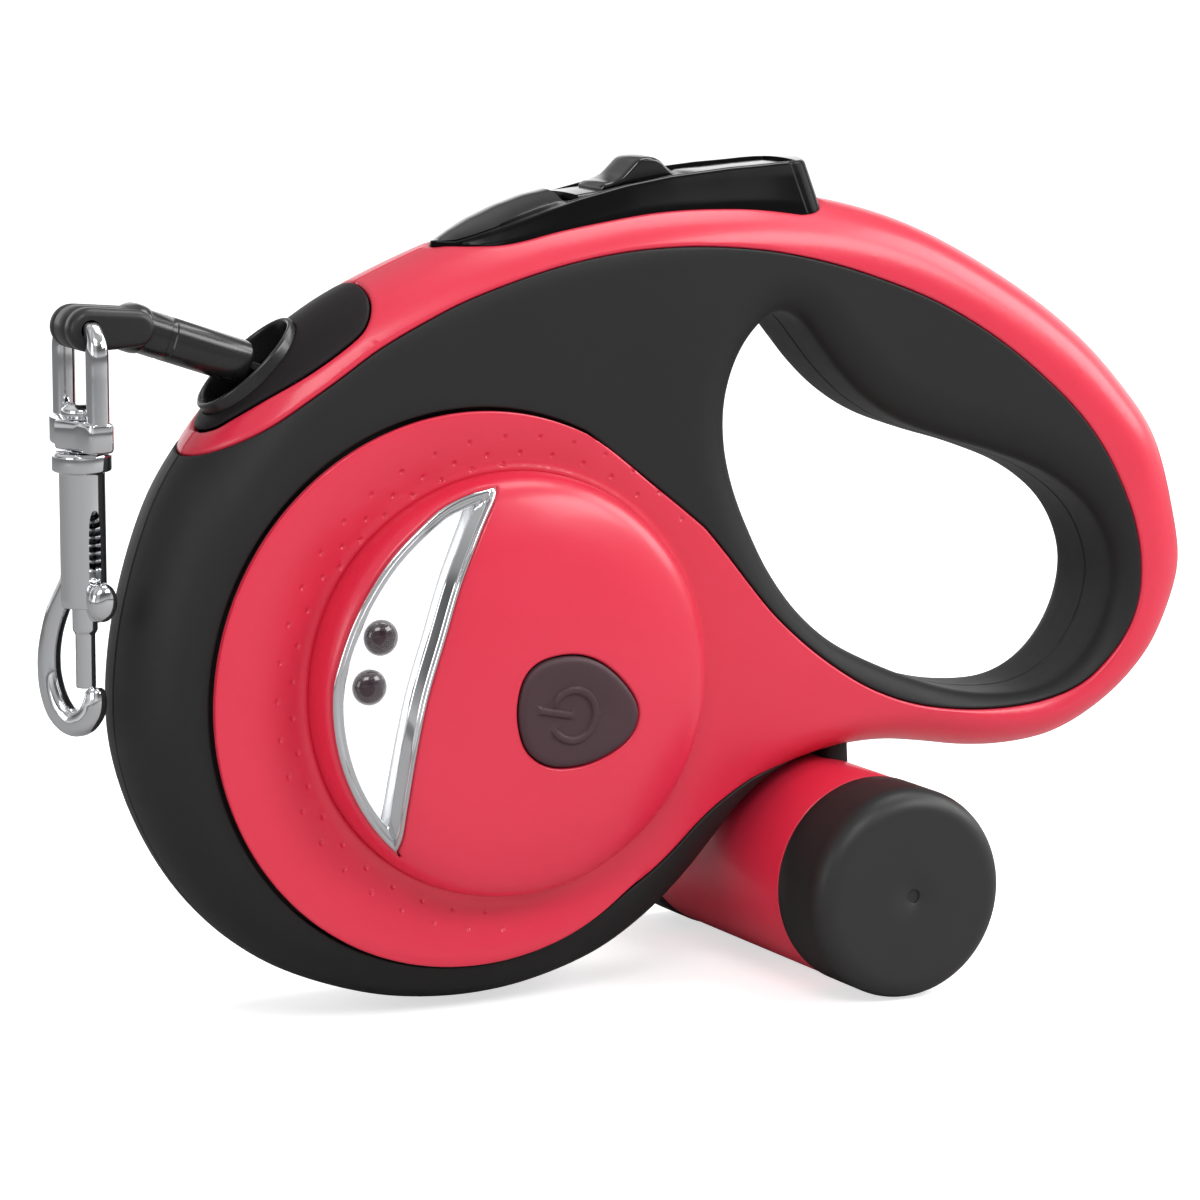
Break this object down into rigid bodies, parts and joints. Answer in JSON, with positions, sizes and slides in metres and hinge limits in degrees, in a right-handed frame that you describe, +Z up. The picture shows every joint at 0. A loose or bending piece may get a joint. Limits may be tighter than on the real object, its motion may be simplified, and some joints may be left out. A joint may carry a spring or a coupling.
{
  "type": "retractable dog leash",
  "caption": "Retractable tape leash: two-half casing with grip, sprung reel, thumb brake, swivel snap hook, side torch and a clip-on bag dispenser.",
  "frame": {"origin": "on the ground under the middle of the overall box; the reel axis is 42.35 mm towards -X and 58.3 mm up from it", "axes": "+X towards the grip, +Y towards the plain side, -Y towards the torch side, +Z up"},
  "size_m": [0.2246, 0.084, 0.1484],
  "materials": {
    "red_plastic": "satin moulded red",
    "black_plastic": "matte fine-grained black",
    "gloss_black": "polished black",
    "insert_black": "satin black",
    "button_rubber": "soft dark brown-black rubber",
    "chrome": "bright plated",
    "steel": "plain bright steel",
    "clear_lens": "clear polished",
    "reflector": "vacuum-metallised white mirror",
    "led_dark": "dark smoked lamp",
    "reel_plastic": "natural grey moulded",
    "tape_nylon": "woven nylon tape",
    "board_green": "green circuit board",
    "bag_film": "thin matt film",
    "card_core": "pressed card core"
  },
  "bodies": {
    "case": {"near_shell": "black_plastic", "far_shell": "black_plastic", "near_trim": "red_plastic", "far_trim": "red_plastic", "outlet_insert": "insert_black", "outlet_eyelet": "gloss_black", "brake_bezel": "gloss_black", "pawl_pin": "steel", "button_spring": "steel", "reel_axle": "steel", "power_spring": "steel", "torch_dome": "red_plastic", "torch_bezel": "chrome", "torch_lens": "clear_lens", "torch_reflector": "reflector", "led_upper": "led_dark", "led_lower": "led_dark", "torch_board": "board_green", "micro_switch": "black_plastic", "coin_cell_front": "steel", "coin_cell_rear": "steel", "battery_clip": "steel", "dispenser_tube": "red_plastic", "far_cap": "black_plastic", "bag_tail": "bag_film", "dispenser_saddle": "black_plastic", "dispenser_screw_near": "steel", "dispenser_screw_far": "steel", "case_screw_upper_front": "steel", "case_screw_lower_front": "steel", "case_screw_lower_rear": "steel", "case_screw_grip_top": "steel", "case_screw_grip_rear": "steel"},
    "reel": {"reel_drum": "reel_plastic", "spring_cover": "reel_plastic", "tape_coil": "tape_nylon"},
    "leash": {"tape_run": "tape_nylon", "tape_sleeve": "black_plastic", "tape_loop": "tape_nylon"},
    "bail": {"swivel_bail": "chrome"},
    "hook": {"hook_body": "chrome", "bolt_spring": "steel"},
    "bolt": {"hook_bolt": "chrome"},
    "button": {"brake_button": "gloss_black"},
    "lock": {"lock_slider": "gloss_black"},
    "pawl": {"brake_pawl": "reel_plastic"},
    "torch_switch": {"power_button": "button_rubber"},
    "bag_supply": {"bag_core": "card_core", "bag_roll": "bag_film"},
    "dispenser_cap": {"near_cap": "black_plastic"}
  },
  "joints": [
    {"name": "leash_pull", "type": "slide", "parent": "case", "child": "leash", "axis": [-0.945, 0, 0.327], "range_m": [0, 0.2003]},
    {"name": "reel_spin", "type": "hinge", "parent": "case", "child": "reel", "pos_m": [-0.04235, 0, 0.0583], "axis": [0, -1, 0], "range_deg": [0, 270.5]},
    {"name": "brake_press", "type": "slide", "parent": "case", "child": "button", "axis": [0.1, 0, -0.995], "range_m": [0, 0.003], "stiffness_N_per_m": 600, "springref_m": -0.001, "deforming": ["button_spring"]},
    {"name": "pawl_turn", "type": "hinge", "parent": "case", "child": "pawl", "pos_m": [0.00515, 0, 0.0793], "axis": [0, -1, 0], "range_deg": [0, 8]},
    {"name": "lock_slide", "type": "slide", "parent": "button", "child": "lock", "axis": [-0.9932, 0, -0.1162], "range_m": [0, 0.006]},
    {"name": "power_press", "type": "slide", "parent": "case", "child": "torch_switch", "axis": [0, 1, 0], "range_m": [0, 0.0009]},
    {"name": "bail_swing", "type": "hinge", "parent": "leash", "child": "bail", "pos_m": [-0.10715, -0.0015, 0.1229], "axis": [0, 1, 0], "range_deg": [0, 120]},
    {"name": "hook_swivel", "type": "hinge", "parent": "bail", "child": "hook", "pos_m": [-0.10715, -0.0015, 0.1003], "axis": [0, 0, 1], "range_deg": [0, 180]},
    {"name": "bolt_slide", "type": "slide", "parent": "hook", "child": "bolt", "axis": [0, 0, 1], "range_m": [0, 0.0075], "deforming": ["bolt_spring"]},
    {"name": "bag_roll_spin", "type": "hinge", "parent": "case", "child": "bag_supply", "pos_m": [0.03265, 0, 0.0189], "axis": [0, 1, 0], "continuous": true},
    {"name": "near_cap_off", "type": "slide", "parent": "case", "child": "dispenser_cap", "axis": [0, -1, 0], "range_m": [0, 0.018]}
  ],
  "couplings": [
    {"joint": "reel_spin", "follows": "leash_pull", "rad_per_m": 23.529},
    {"joint": "pawl_turn", "follows": "brake_press", "rad_per_m": 46}
  ]
}
